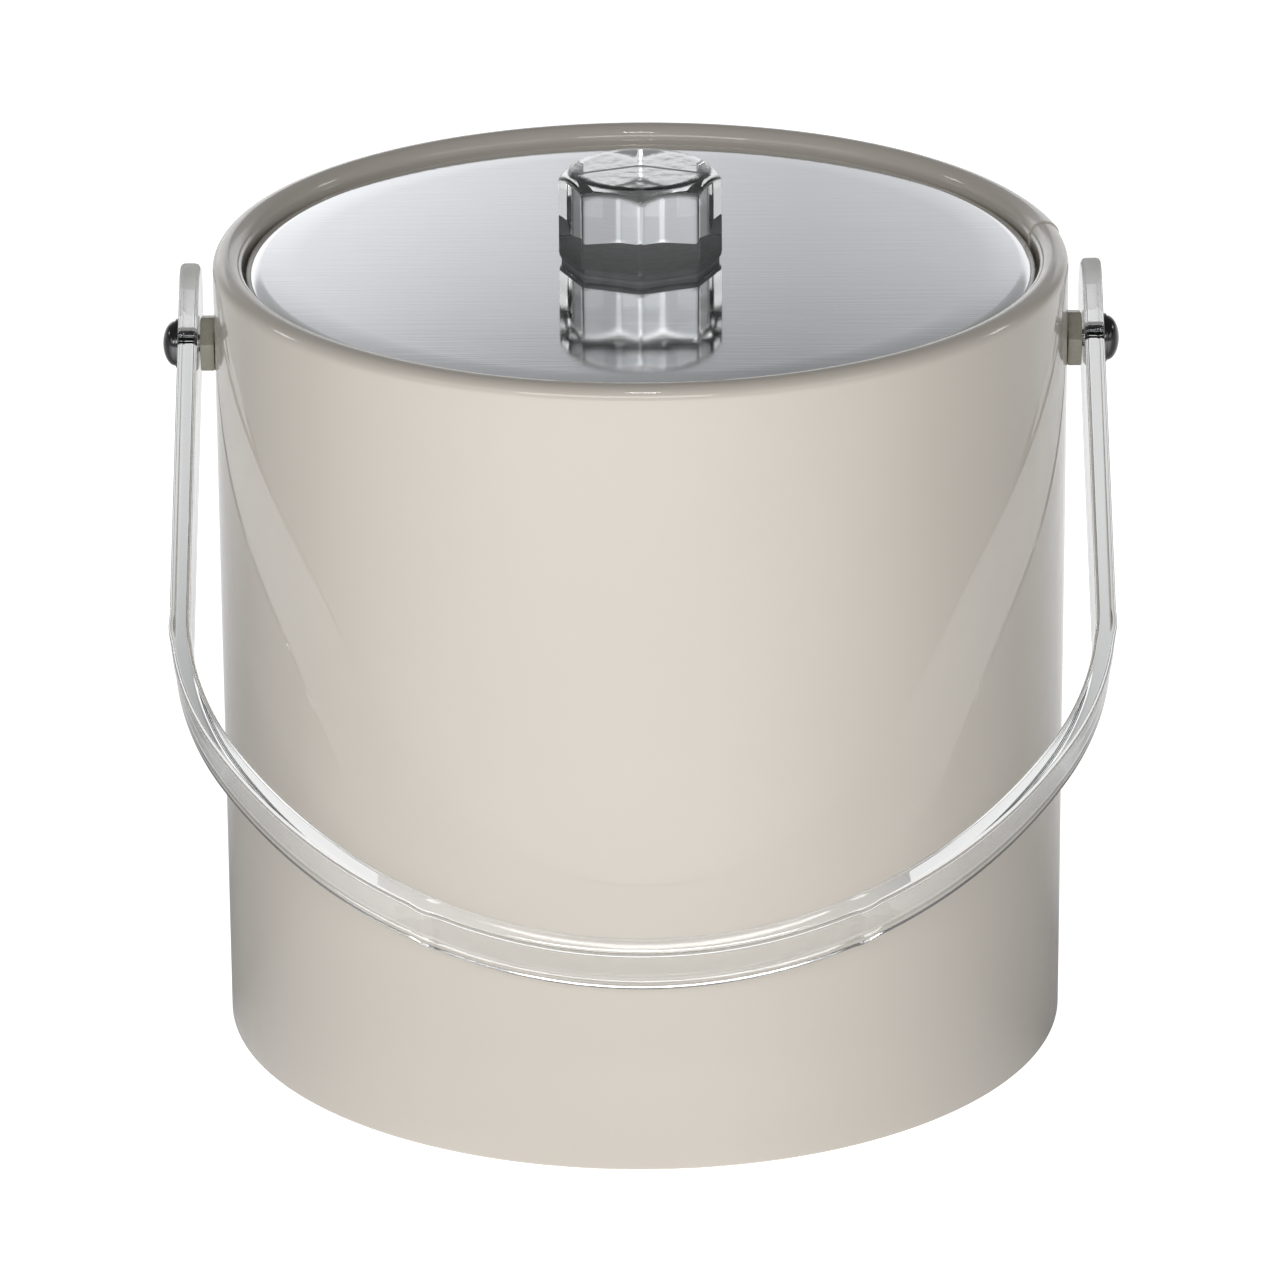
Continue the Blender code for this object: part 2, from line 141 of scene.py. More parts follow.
def make_camera():
    """Long lens from above the front, tilted down at the bucket."""
    camera = bpy.data.cameras.new("camera")
    camera.sensor_width = 36.0
    camera.lens = CAMERA_LENS
    camera.clip_start = 0.05
    camera.clip_end = 30.0
    obj = bpy.data.objects.new("camera", camera)
    bpy.context.scene.collection.objects.link(obj)
    pitch = Matrix.Rotation(math.pi / 2 - CAMERA_TILT_DOWN, 4, "X")
    roll = Matrix.Rotation(CAMERA_ROLL, 4, "Z")
    place = Matrix.Translation(CAMERA_PLACE)
    obj.matrix_world = place @ pitch @ roll
    bpy.context.scene.camera = obj


def add_area(name, place, aim, size, power):
    light = bpy.data.lights.new(name, "AREA")
    light.shape = "RECTANGLE"
    light.size, light.size_y = size
    light.energy = power
    obj = bpy.data.objects.new(name, light)
    bpy.context.scene.collection.objects.link(obj)
    obj.location = place
    direction = Vector(aim) - Vector(place)
    obj.rotation_euler = direction.to_track_quat("-Z", "Y").to_euler()


def make_world():
    """A high-key studio: a bright sweep low down behind, dark by 20 degrees up and darker overhead, with
    two soft panels low down in front."""
    world = bpy.data.worlds.new("studio")
    bpy.context.scene.world = world
    world.use_nodes = True
    nodes = Tree(world.node_tree)
    background = world.node_tree.nodes["Background"]
    coords = nodes.add("ShaderNodeTexCoord")
    parts = nodes.add("ShaderNodeSeparateXYZ")
    nodes.link(coords.outputs["Generated"], parts.inputs[0])
    sweep = nodes.ramp(parts.outputs["Z"], [
        (0.00, grey(0.40)), (0.17, grey(0.42)), (0.275, (0.43, 0.433, 0.440)),
        (0.302, (0.385, 0.389, 0.40)), (0.316, (0.315, 0.32, 0.331)), (0.3245, (0.255, 0.261, 0.271)),
        (0.331, (0.16, 0.163, 0.168)), (0.40, grey(0.14)), (0.50, grey(0.10)), (0.72, grey(0.05))])
    room = nodes.ramp(parts.outputs["Z"], [
        (0.00, grey(0.14)), (0.12, grey(0.09)), (0.30, grey(0.045)), (1.00, grey(0.04))])
    aside = nodes.math("ABSOLUTE", parts.outputs["X"], 0.0)
    behind = nodes.math("MULTIPLY", nodes.remap(parts.outputs["Y"], 0.30, 0.50, 0.0, 1.0),
                        nodes.remap(aside, 0.36, 0.58, 1.0, 0.0))
    whole = nodes.blend(behind, room, sweep)
    side = nodes.ramp(nodes.remap(parts.outputs["X"], -0.06, 0.06, 0.0, 1.0), [
        (0.00, grey(1.00)), (0.10, grey(0.99)), (0.32, grey(0.79)), (0.50, grey(0.67)), (0.68, grey(0.58)),
        (0.85, grey(0.64)), (1.00, grey(0.84))])
    lit = nodes.mix("MULTIPLY", whole, side)
    front = nodes.remap(parts.outputs["Y"], -0.25, -0.35, 0.0, 1.0)
    across = nodes.math("MULTIPLY", nodes.remap(aside, 0.38, 0.46, 0.0, 1.0),
                        nodes.remap(aside, 0.84, 0.92, 1.0, 0.0))
    level = nodes.math("MULTIPLY", nodes.remap(parts.outputs["Z"], 0.20, 0.26, 0.0, 1.0),
                       nodes.remap(parts.outputs["Z"], 0.46, 0.54, 1.0, 0.0))
    panels = nodes.math("MULTIPLY", nodes.math("MULTIPLY", across, level), front)
    lit = nodes.blend(panels, lit, nodes.plain(PANEL_LEVEL))
    nodes.link(lit, background.inputs["Color"])
    background.inputs["Strength"].default_value = WORLD_STRENGTH


def grey(level):
    return (level, level, level)


def make_lights():
    """A broad softbox over the camera, a small light high in front and one behind at each side."""
    add_area("softbox", (-0.25, -2.05, 1.15), LIGHTS_AIM, (2.0, 0.5), 11.0)
    add_area("top_spot", (0.01, -0.75, 1.25), LIGHTS_AIM, (0.16, 0.10), 0.9)
    for side in (-1.0, 1.0):
        add_area("side_spot", (side * 1.1, 0.38, 0.62), LIGHTS_AIM, (0.16, 0.16), 0.3)


def make_floor():
    """A pale floor. It glows in front of the bucket and less behind it, which lights the vinyl from below.
    The camera sees it evenly bright, and so does clear acrylic, but for a dark strip straight behind."""
    mesh = bpy.data.meshes.new("floor")
    bm = bmesh.new()
    bmesh.ops.create_grid(bm, x_segments=1, y_segments=1, size=6.0)
    bm.to_mesh(mesh)
    bm.free()
    floor = bpy.data.objects.new("floor", mesh)
    bpy.context.scene.collection.objects.link(floor)
    look = Look("floor_paper")
    nodes = look.nodes
    look.set("Roughness", 0.9)
    look.set("Specular IOR Level", 0.2)
    look.set("Emission Color", (1.0, 1.0, 1.0, 1.0))
    away = nodes.add("ShaderNodeVectorMath")
    away.operation = "NORMALIZE"
    nodes.link(nodes.coords((1.0, 1.0, 0.0)), away.inputs[0])
    facing = nodes.add("ShaderNodeVectorMath")
    facing.operation = "DOT_PRODUCT"
    nodes.link(away.outputs[0], facing.inputs[0])
    facing.inputs[1].default_value = (-0.13, -0.99, 0.0)
    reach = nodes.add("ShaderNodeVectorMath")
    reach.operation = "LENGTH"
    nodes.link(nodes.coords((1.0, 1.0, 0.0)), reach.inputs[0])
    ahead = nodes.remap(facing.outputs["Value"], 0.1, 0.95, SIDE_GLOW, FRONT_GLOW)
    astern = nodes.remap(facing.outputs["Value"], -0.30, -0.95, 0.0, BACK_GLOW)
    glow = nodes.math("MULTIPLY", nodes.math("MAXIMUM", ahead, astern),
                      nodes.remap(reach.outputs["Value"], 0.10, 0.36, GLOW_AT_BODY, 1.0))
    path = nodes.add("ShaderNodeLightPath")
    through = path.outputs["Is Transmission Ray"]
    spread = nodes.add("ShaderNodeSeparateXYZ")
    nodes.link(nodes.coords(), spread.inputs[0])
    aside = nodes.math("ABSOLUTE", spread.outputs["X"], 0.0)
    shade = nodes.math("MULTIPLY", nodes.remap(aside, 0.15, 0.19, 1.0, 0.0),
                       nodes.remap(spread.outputs["Y"], 0.06, 0.12, 0.0, 1.0))
    no_gloss_yet = nodes.math("LESS_THAN", path.outputs["Glossy Depth"], 0.5)
    direct = nodes.remap(no_gloss_yet, 0.0, 1.0, SEEN_AFTER_GLOSS, 1.0)
    clear = nodes.math("MULTIPLY", nodes.math("MULTIPLY", through, direct),
                       nodes.math("SUBTRACT", 1.0, shade))
    seen = nodes.math("MAXIMUM", path.outputs["Is Camera Ray"], clear)
    look.join(nodes.math("MAXIMUM", glow, seen), "Emission Strength")
    dim = nodes.math("SUBTRACT", 1.0, nodes.math("MULTIPLY", through, shade))
    look.join(nodes.blend(dim, nodes.plain(FLOOR_DARK), nodes.plain(FLOOR_PALE)), "Base Color")
    look.material.cycles.emission_sampling = "NONE"
    floor.data.materials.append(look.material)


# Node helpers -----------------------------------------------------------------------------------

class Tree:
    """Short ways to add and link the nodes of one node tree."""

    def __init__(self, tree):
        self.tree = tree

    def add(self, kind):
        return self.tree.nodes.new(kind)

    def link(self, source, target):
        self.tree.links.new(source, target)

    def ramp(self, source, stops):
        node = self.add("ShaderNodeValToRGB")
        elements = node.color_ramp.elements
        while len(elements) < len(stops):
            elements.new(0.5)
        for element, (place, colour) in zip(elements, stops):
            element.position = place
            element.color = (*colour, 1.0)
        self.link(source, node.inputs[0])
        return node.outputs["Color"]

    def remap(self, source, low, high, to_low, to_high):
        node = self.add("ShaderNodeMapRange")
        self.link(source, node.inputs["Value"])
        node.inputs["From Min"].default_value = low
        node.inputs["From Max"].default_value = high
        node.inputs["To Min"].default_value = to_low
        node.inputs["To Max"].default_value = to_high
        return node.outputs["Result"]

    def mix(self, blend, first, second, amount=1.0):
        node = self.add("ShaderNodeMix")
        node.data_type = "RGBA"
        node.blend_type = blend
        node.inputs["Factor"].default_value = amount
        self.link(first, node.inputs["A"])
        self.link(second, node.inputs["B"])
        return node.outputs["Result"]

    def blend(self, amount, first, second):
        node = self.add("ShaderNodeMix")
        node.data_type = "RGBA"
        self.link(amount, node.inputs["Factor"])
        self.link(first, node.inputs["A"])
        self.link(second, node.inputs["B"])
        return node.outputs["Result"]

    def plain(self, level):
        node = self.add("ShaderNodeRGB")
        node.outputs[0].default_value = (level, level, level, 1.0)
        return node.outputs[0]

    def math(self, operation, first, second):
        node = self.add("ShaderNodeMath")
        node.operation = operation
        for socket, value in zip(node.inputs, (first, second)):
            if isinstance(value, (int, float)):
                socket.default_value = value
            else:
                self.link(value, socket)
        return node.outputs[0]

    def coords(self, stretch=(1.0, 1.0, 1.0)):
        """Object coordinates in metres, stretched along each axis."""
        source = self.add("ShaderNodeTexCoord")
        mapping = self.add("ShaderNodeMapping")
        mapping.inputs["Scale"].default_value = stretch
        self.link(source.outputs["Object"], mapping.inputs["Vector"])
        return mapping.outputs["Vector"]

    def noise(self, scale, detail=3.0, stretch=(1.0, 1.0, 1.0), roughness=0.5):
        node = self.add("ShaderNodeTexNoise")
        self.link(self.coords(stretch), node.inputs["Vector"])
        node.inputs["Scale"].default_value = scale
        node.inputs["Detail"].default_value = detail
        node.inputs["Roughness"].default_value = roughness
        return node.outputs["Fac"]

    def cells(self, scale, output="Distance"):
        node = self.add("ShaderNodeTexVoronoi")
        self.link(self.coords(), node.inputs["Vector"])
        node.inputs["Scale"].default_value = scale
        return node.outputs[output]

    def bump(self, height, distance, strength=1.0, under=None):
        node = self.add("ShaderNodeBump")
        node.inputs["Distance"].default_value = distance
        node.inputs["Strength"].default_value = strength
        self.link(height, node.inputs["Height"])
        if under is not None:
            self.link(under, node.inputs["Normal"])
        return node.outputs["Normal"]


class Look:
    """A Principled material. set() gives a plain value and join() links a node's output."""

    def __init__(self, name):
        self.material = bpy.data.materials.new(name)
        self.material.use_nodes = True
        self.nodes = Tree(self.material.node_tree)
        self.shader = self.material.node_tree.nodes["Principled BSDF"]

    def set(self, socket, value):
        self.shader.inputs[socket].default_value = value

    def join(self, source, socket):
        self.nodes.link(source, self.shader.inputs[socket])


def tint(nodes, source, dark, light):
    return nodes.ramp(source, [(0.3, dark), (0.7, light)])


# Materials --------------------------------------------------------------------------------------

def patent_vinyl():
    """Glossy taupe vinyl: near-even colour, faint orange peel, clear top coat."""
    look = Look("patent_vinyl")
    nodes = look.nodes
    cloud = nodes.noise(9.0, 4.0)
    look.join(tint(nodes, cloud, (0.640, 0.590, 0.522), (0.668, 0.618, 0.550)), "Base Color")
    look.join(nodes.remap(nodes.noise(140.0, 5.0), 0.3, 0.7, 0.30, 0.42), "Roughness")
    peel = nodes.bump(nodes.noise(420.0, 2.0), 0.000012)
    look.join(nodes.bump(nodes.noise(38.0, 2.0), 0.00008, 1.0, peel), "Normal")
    look.set("Coat Weight", 1.0)
    look.set("Coat Roughness", 0.03)
    look.set("Coat IOR", 1.5)
    look.set("Specular IOR Level", 0.35)
    return look.material


def moulded_plastic(name, dark, light, rough_low, rough_high):
    """Injection-moulded plastic with a fine texture and slight clouding."""
    look = Look(name)
    nodes = look.nodes
    look.join(tint(nodes, nodes.noise(22.0, 5.0), dark, light), "Base Color")
    look.join(nodes.remap(nodes.noise(260.0, 4.0), 0.3, 0.7, rough_low, rough_high), "Roughness")
    grain = nodes.bump(nodes.noise(1500.0, 3.0), 0.00001)
    look.join(nodes.bump(nodes.noise(60.0, 2.0), 0.00005, 1.0, grain), "Normal")
    return look.material


def paperboard():
    """Kraft board with long fibres."""
    look = Look("paperboard")
    nodes = look.nodes
    fibre = nodes.noise(300.0, 6.0, (1.0, 1.0, 0.15), 0.65)
    look.join(tint(nodes, fibre, (0.36, 0.27, 0.17), (0.56, 0.45, 0.31)), "Base Color")
    look.join(nodes.remap(fibre, 0.3, 0.7, 0.75, 0.95), "Roughness")
    look.join(nodes.bump(fibre, 0.00015), "Normal")
    return look.material


def rigid_foam():
    """Expanded foam with packed round beads."""
    look = Look("rigid_foam")
    nodes = look.nodes
    bead = nodes.cells(380.0)
    look.join(tint(nodes, bead, (0.86, 0.85, 0.80), (0.70, 0.69, 0.63)), "Base Color")
    look.join(nodes.remap(nodes.noise(500.0), 0.3, 0.7, 0.8, 0.95), "Roughness")
    look.join(nodes.bump(bead, 0.0006, -1.0), "Normal")
    return look.material


def felt():
    """Dense charcoal felt."""
    look = Look("felt")
    nodes = look.nodes
    fuzz = nodes.noise(1800.0, 6.0, (1.0, 1.0, 0.4), 0.7)
    look.join(tint(nodes, fuzz, (0.018, 0.018, 0.020), (0.085, 0.083, 0.085)), "Base Color")
    look.join(nodes.remap(nodes.noise(90.0, 4.0), 0.3, 0.7, 0.88, 1.0), "Roughness")
    look.join(nodes.bump(fuzz, 0.0004), "Normal")
    look.set("Sheen Weight", 0.4)
    look.set("Sheen Roughness", 0.5)
    return look.material


def polished_lid():
    """Polished metal with a faint grain drawn across it and soft clouding from handling."""
    look = Look("polished_lid")
    nodes = look.nodes
    grain = nodes.noise(900.0, 4.0, (0.03, 1.0, 1.0), 0.6)
    cloud = nodes.noise(14.0, 4.0)
    look.join(tint(nodes, cloud, (0.76, 0.765, 0.772), (0.82, 0.823, 0.828)), "Base Color")
    rough = nodes.math("ADD", nodes.remap(grain, 0.3, 0.7, 0.035, 0.075),
                       nodes.remap(cloud, 0.35, 0.65, 0.0, 0.03))
    look.join(rough, "Roughness")
    look.join(nodes.bump(grain, 0.000004), "Normal")
    look.set("Metallic", 1.0)
    return look.material


def dark_chrome():
    look = Look("dark_chrome")
    nodes = look.nodes
    smudge = nodes.noise(240.0, 4.0)
    look.join(tint(nodes, smudge, (0.10, 0.10, 0.105), (0.16, 0.16, 0.165)), "Base Color")
    look.join(nodes.remap(smudge, 0.3, 0.7, 0.10, 0.20), "Roughness")
    look.join(nodes.bump(nodes.noise(900.0), 0.000006), "Normal")
    look.set("Metallic", 1.0)
    return look.material


def bright_zinc():
    """Zinc plate with its crystal spangle."""
    look = Look("bright_zinc")
    nodes = look.nodes
    spangle = nodes.cells(900.0, "Color")
    look.join(tint(nodes, spangle, (0.50, 0.50, 0.47), (0.68, 0.68, 0.66)), "Base Color")
    look.join(nodes.remap(nodes.noise(700.0), 0.3, 0.7, 0.25, 0.42), "Roughness")
    look.join(nodes.bump(nodes.noise(2200.0), 0.00001), "Normal")
    look.set("Metallic", 1.0)
    return look.material


def clear_acrylic():
    """Clear cast acrylic with a barely uneven polish and a few hairline scratches."""
    look = Look("clear_acrylic")
    nodes = look.nodes
    hairline = nodes.noise(700.0, 2.0, (1.0, 0.05, 0.05))
    look.join(nodes.remap(hairline, 0.66, 0.80, 0.0, 0.10), "Roughness")
    look.join(nodes.bump(nodes.noise(55.0, 1.0), 0.00003), "Normal")
    look.set("Base Color", (0.975, 0.985, 0.985, 1.0))
    look.set("Transmission Weight", 1.0)
    look.set("IOR", 1.49)
    return look.material


def frosted_acrylic():
    """The sanded ends of the strap."""
    look = Look("frosted_acrylic")
    nodes = look.nodes
    frost = nodes.noise(1600.0, 5.0, (1.0, 1.0, 1.0), 0.7)
    look.join(nodes.remap(frost, 0.3, 0.7, 0.35, 0.65), "Roughness")
    look.join(nodes.bump(frost, 0.0002), "Normal")
    look.set("Base Color", (0.93, 0.93, 0.93, 1.0))
    look.set("Transmission Weight", 0.8)
    look.set("IOR", 1.49)
    return look.material


def bond_pad_painted_light():
    """Bonding film with painted light. Looked at squarely from above it turns to a bright mirror, a painted
    reflection for the knob's bright top. At a grazing angle and on its side it is dark grey, a painted dark
    reflection for the knob's dark band.
    """
    look = Look("bond_pad_painted_light")
    nodes = look.nodes
    dab = nodes.noise(320.0, 4.0)
    # Painted light: the dark tint stands in for the knob's dark band and the bright metal tint for its
    # bright top. The viewing angle picks between them below.
    dark = tint(nodes, dab, (0.205, 0.210, 0.215), (0.245, 0.250, 0.255))
    bright = tint(nodes, dab, (0.86, 0.86, 0.87), (0.92, 0.92, 0.93))
    weight = nodes.add("ShaderNodeLayerWeight")
    weight.inputs["Blend"].default_value = 0.5
    normal = nodes.add("ShaderNodeNewGeometry")
    parts = nodes.add("ShaderNodeSeparateXYZ")
    nodes.link(normal.outputs["Normal"], parts.inputs[0])
    square = nodes.remap(weight.outputs["Facing"], 0.45, 0.62, 1.0, 0.0)
    amount = nodes.math("MULTIPLY", square, nodes.math("GREATER_THAN", parts.outputs["Z"], 0.7))
    look.join(nodes.blend(amount, dark, bright), "Base Color")
    look.join(amount, "Metallic")
    look.set("Specular IOR Level", 0.0)
    look.join(nodes.remap(dab, 0.3, 0.7, 0.05, 0.11), "Roughness")
    look.join(nodes.bump(dab, 0.00005), "Normal")
    return look.material


# Shapes -----------------------------------------------------------------------------------------

def arc(centre, radius, start_deg, end_deg, steps):
    points = []
    for i in range(steps + 1):
        angle = math.radians(start_deg + (end_deg - start_deg) * i / steps)
        points.append((centre[0] + radius * math.cos(angle), centre[1] + radius * math.sin(angle)))
    return points


def filleted(corners, steps=5):
    """An outline through corners of (radius from axis, height, fillet), with each fillet drawn as an arc."""
    points = []
    count = len(corners)
    for i, (r, z, fillet) in enumerate(corners):
        here = Vector((r, z))
        if fillet <= 0.0 or i in (0, count - 1):
            points.append((r, z))
            continue
        before = (Vector(corners[i - 1][:2]) - here).normalized()
        after = (Vector(corners[(i + 1) % count][:2]) - here).normalized()
        half = before.angle(after) / 2
        if half > math.radians(88.0):
            points.append((r, z))
            continue
        centre = here + (before + after).normalized() * (fillet / math.sin(half))
        first = here + before * (fillet / math.tan(half)) - centre
        last = here + after * (fillet / math.tan(half)) - centre
        for k in range(steps + 1):
            spot = centre + first.slerp(last, k / steps).normalized() * fillet
            points.append((spot.x, spot.y))
    return points


def stepped(first, last, step):
    """Points from first to last, first left out, no further apart than step."""
    gap = Vector(last) - Vector(first)
    count = max(1, math.ceil(gap.length / step))
    return [tuple(Vector(first) + gap * (i + 1) / count) for i in range(count)]


def lathe(name, outline, angles, shape=None):
    """Turn an outline of (radius, height) round Z. Its ends lie on the axis, or it closes on itself.
    shape(angle, r, z, index) may move a point."""
    bm = bmesh.new()
    columns = []
    poles = {}
    on_axis = outline[0][0] < 1e-9 and outline[-1][0] < 1e-9
    for angle in angles:
        column = []
        for index, (r, z) in enumerate(outline):
            if r < 1e-9:
                if index not in poles:
                    poles[index] = bm.verts.new((0.0, 0.0, z))
                column.append(poles[index])
                continue
            radius, height = shape(angle, r, z, index) if shape else (r, z)
            column.append(bm.verts.new((radius * math.cos(angle), radius * math.sin(angle), height)))
        columns.append(column)
    rows = len(outline) - 1 if on_axis else len(outline)
    for i, column in enumerate(columns):
        following = columns[(i + 1) % len(columns)]
        for j in range(rows):
            k = (j + 1) % len(outline)
            corners = []
            for vert in (column[j], following[j], following[k], column[k]):
                if vert not in corners:
                    corners.append(vert)
            if len(corners) > 2:
                bm.faces.new(corners)
    bmesh.ops.recalc_face_normals(bm, faces=bm.faces)
    return to_object(name, bm)


def to_object(name, bm):
    mesh = bpy.data.meshes.new(name)
    bm.to_mesh(mesh)
    bm.free()
    obj = bpy.data.objects.new(name, mesh)
    bpy.context.scene.collection.objects.link(obj)
    return obj


def even_angles(steps):
    return [2.0 * math.pi * i / steps for i in range(steps)]


def smooth(obj, angle_deg=32.0):
    """Smooth shading with sharp edges where faces meet at more than the given angle."""
    obj.data.shade_smooth()
    obj.data.set_sharp_from_angle(angle=math.radians(angle_deg))


def weigh_normals(obj):
    """Keep wide flat faces flat to the light beside their small rounded edges."""
    weighted = obj.modifiers.new("weighted_normals", "WEIGHTED_NORMAL")
    weighted.keep_sharp = True
    weighted.weight = 80


def finish_piece(obj, material, body, node):
    obj.data.materials.clear()
    obj.data.materials.append(material)
    declare(obj, body, node)


def declare(obj, body, node):
    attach(obj, body)
    if node:
        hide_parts(node)


def aim_along_x(obj, x, z, side):
    """Turn a mesh made along Z so that its +Z points out of the body on that side."""
    turn = Matrix.Rotation(side * math.pi / 2, 4, "Y")
    obj.data.transform(Matrix.Translation((side * x, 0.0, z)) @ turn)


def polygon_radius(angle, sides, apothem, sharpness, corner_angle=0.0):
    """Distance to the side of a regular polygon with softened corners, the first at corner_angle."""
    total = 0.0
    for i in range(sides):
        facing = corner_angle + math.pi / sides + 2.0 * math.pi * i / sides
        total += max(0.0, math.cos(angle - facing)) ** sharpness
    return apothem * total ** (-1.0 / sharpness)


# Body -------------------------------------------------------------------------------------------

SEAM_ANGLE = math.radians(9.8)
SEAM_STEP = 0.00035
SEAM_FADE = math.radians(16.0)


def seam_angles():
    """Even angles round the body with close ones at the seam's step."""
    angles = even_angles(LATHE_STEPS)
    extra = [SEAM_ANGLE + offset * 0.0012 for offset in (-3.0, -1.0, 0.0, 0.35, 1.0, 3.0)]
    clear = [a for a in angles if all(abs(a - e) > 0.0009 for e in extra)]
    return sorted(clear + extra)


def wrap_shift(angle, z):
    """How far the vinyl stands off its even surface: the seam's small step and a faint unevenness."""
    behind = angle - SEAM_ANGLE
    lap = 0.0
    if 0.0003 < behind < SEAM_FADE:
        lap = SEAM_STEP * (1.0 - behind / SEAM_FADE) ** 2
    spot = Vector((math.cos(angle) * 2.2, math.sin(angle) * 2.2, z * 22.0))
    return lap + 0.00006 * noise.noise(spot)


def make_wrap(vinyl):
    inner = BODY_R - RIM_W
    face_start = LEDGE_Z + 0.0003
    bottom = 0.0003
    turn_in = WRAP_LOW.z
    outline = [(inner, face_start)] + stepped((inner, face_start), (inner, RIM_Z), 0.003)
    outline += arc((RIM_C, RIM_Z), RIM_W / 2, 180, 0, 26)[1:]
    corner = 0.0006
    outline += stepped((BODY_R, RIM_Z), (BODY_R, bottom + corner), 0.006)
    outline += arc((BODY_R - corner, bottom + corner), corner, 0, -90, 7)[1:]
    outline += [(PAD_HIGH.x + 0.0010, bottom), (PAD_HIGH.x + 0.0004, turn_in)]
    outline += stepped((PAD_HIGH.x + 0.0004, turn_in), (WRAP_TURN_IN_R, turn_in), 0.004)
    face_points = len(outline)
    back_r = BODY_R - WRAP_T
    outline += [(WRAP_TURN_IN_R, turn_in + WRAP_T), (back_r - 0.0006, turn_in + WRAP_T)]
    outline += stepped((back_r, turn_in + WRAP_T + 0.0006), (back_r, RIM_Z), 0.012)
    outline += arc((RIM_C, RIM_Z), RIM_W / 2 - WRAP_T, 0, 180, 14)[1:]
    outline += [(inner + WRAP_T, face_start)]

    def shape(angle, r, z, index):
        if index >= face_points:
            return r, z
        shift = wrap_shift(angle, z)
        if z > RIM_Z:
            away = Vector((r - RIM_C, z - RIM_Z)).normalized() * shift
            return r + away.x, z + away.y
        side = 1.0 if r > RIM_C else -1.0
        return r + side * shift * min(1.0, (z - bottom) / 0.003), z

    wrap = lathe("vinyl_cover", outline, seam_angles(), shape)
    smooth(wrap, 40.0)
    finish_piece(wrap, vinyl, "bucket", "vinyl_wrap")


def make_liner(plastic):
    floor_z = LINER_LOW.z + LINER_T
    inner_r = LINER_HIGH.x
    lip = 0.0008
    corners = [
        (0.0, floor_z, 0.0), (LINER_FLOOR_R, floor_z, LINER_FILLET),
        (LINER_MOUTH_R, LEDGE_Z, lip), (inner_r, LEDGE_Z, 0.0003), (inner_r, LEDGE_Z - LINER_T, 0.0003),
        (LINER_MOUTH_R + LINER_T, LEDGE_Z - LINER_T, 0.001),
        (LINER_FLOOR_R + LINER_T, floor_z - LINER_T, LINER_FILLET + LINER_T),
        (0.0, floor_z - LINER_T, 0.0)]
    liner = lathe("liner_bucket", filleted(corners, 8), even_angles(LATHE_STEPS))
    smooth(liner)
    weigh_normals(liner)
    finish_piece(liner, plastic, "bucket", "liner")


def make_base_pad(look):
    corners = [
        (0.0, PAD_HIGH.z, 0.0), (PAD_HIGH.x, PAD_HIGH.z, 0.0001), (PAD_HIGH.x, 0.0, 0.0001), (0.0, 0.0, 0.0)]
    pad = lathe("base_felt", filleted(corners, 4), even_angles(192))
    smooth(pad)
    weigh_normals(pad)
    finish_piece(pad, look, "bucket", "base_pad")


# Pivots -----------------------------------------------------------------------------------------

def make_spacer(name, side, plastic):
    """Hexagonal spacer, one corner to the front and a little up, with eased ends."""
    half = (SPACER_HIGH.x - SPACER_LOW.x) / 2
    apothem = SPACER_AF / 2
    ease = 0.0004
    outline = [(apothem, half - ease)]
    outline += stepped((apothem, half - ease), (apothem, ease - half), 0.0008)
    outline += [(apothem - ease * 0.3, 0.3 * ease - half), (apothem - ease, -half)]
    outline += [(BORE_R, -half), (BORE_R, half)]
    outline += [(apothem - ease, half), (apothem - ease * 0.3, half - 0.3 * ease)]

    def shape(angle, r, z, index):
        if r <= BORE_R:
            return r, z
        return r * polygon_radius(angle, 6, 1.0, 90.0, math.pi / 2 - side * SPACER_TURN), z

    spacer = lathe(name, outline, even_angles(144), shape)
    smooth(spacer, 35.0)
    weigh_normals(spacer)
    for vert in spacer.data.vertices:
        if vert.co.z < 0.0:
            vert.co.z -= SPACER_SEAT
    aim_along_x(spacer, (SPACER_LOW.x + SPACER_HIGH.x) / 2, PIVOT_Z, side)
    finish_piece(spacer, plastic, "bucket", name.replace("hex_", ""))


def make_screw(name, node, side, chrome):
    """Dome-head screw. Its dome sits on a thin flange, and its shank is threaded behind the spacer."""
    head_r = (SCREW_HIGH.z - SCREW_LOW.z) / 2
    seat_x = SCREW_HIGH.x - HEAD_H
    length = seat_x - SCREW_LOW.x
    plain = STRAP_T + (SPACER_HIGH.x - SPACER_LOW.x) + 0.001
    rise = HEAD_H - 0.0008
    dome_r = head_r - 0.0005
    outline = [(0.0, HEAD_H)]
    for i in range(1, 15):
        angle = math.radians(90 - 90 * i / 14)
        outline.append((dome_r * math.cos(angle), 0.0008 + rise * math.sin(angle)))
    outline += [(head_r - 0.0001, 0.00075), (head_r, 0.0006), (head_r, 0.0001), (head_r - 0.0001, 0.0)]
    outline += [(SHANK_R, 0.0), (SHANK_R, -plain)]
    pitch = THREAD_PITCH
    for i in range(int((length - plain) / pitch)):
        z = -plain - i * pitch
        outline.append((SHANK_R - THREAD_DEPTH, z - pitch * 0.4))
        outline += [(SHANK_R, z - pitch * 0.8), (SHANK_R, z - pitch)]
    outline += [(SHANK_R - 0.0004, -length), (0.0, -length)]
    screw = lathe(name, outline, even_angles(64))
    smooth(screw, 35.0)
    aim_along_x(screw, seat_x, PIVOT_Z, side)
    finish_piece(screw, chrome, "bucket", node)


# Handle -----------------------------------------------------------------------------------------

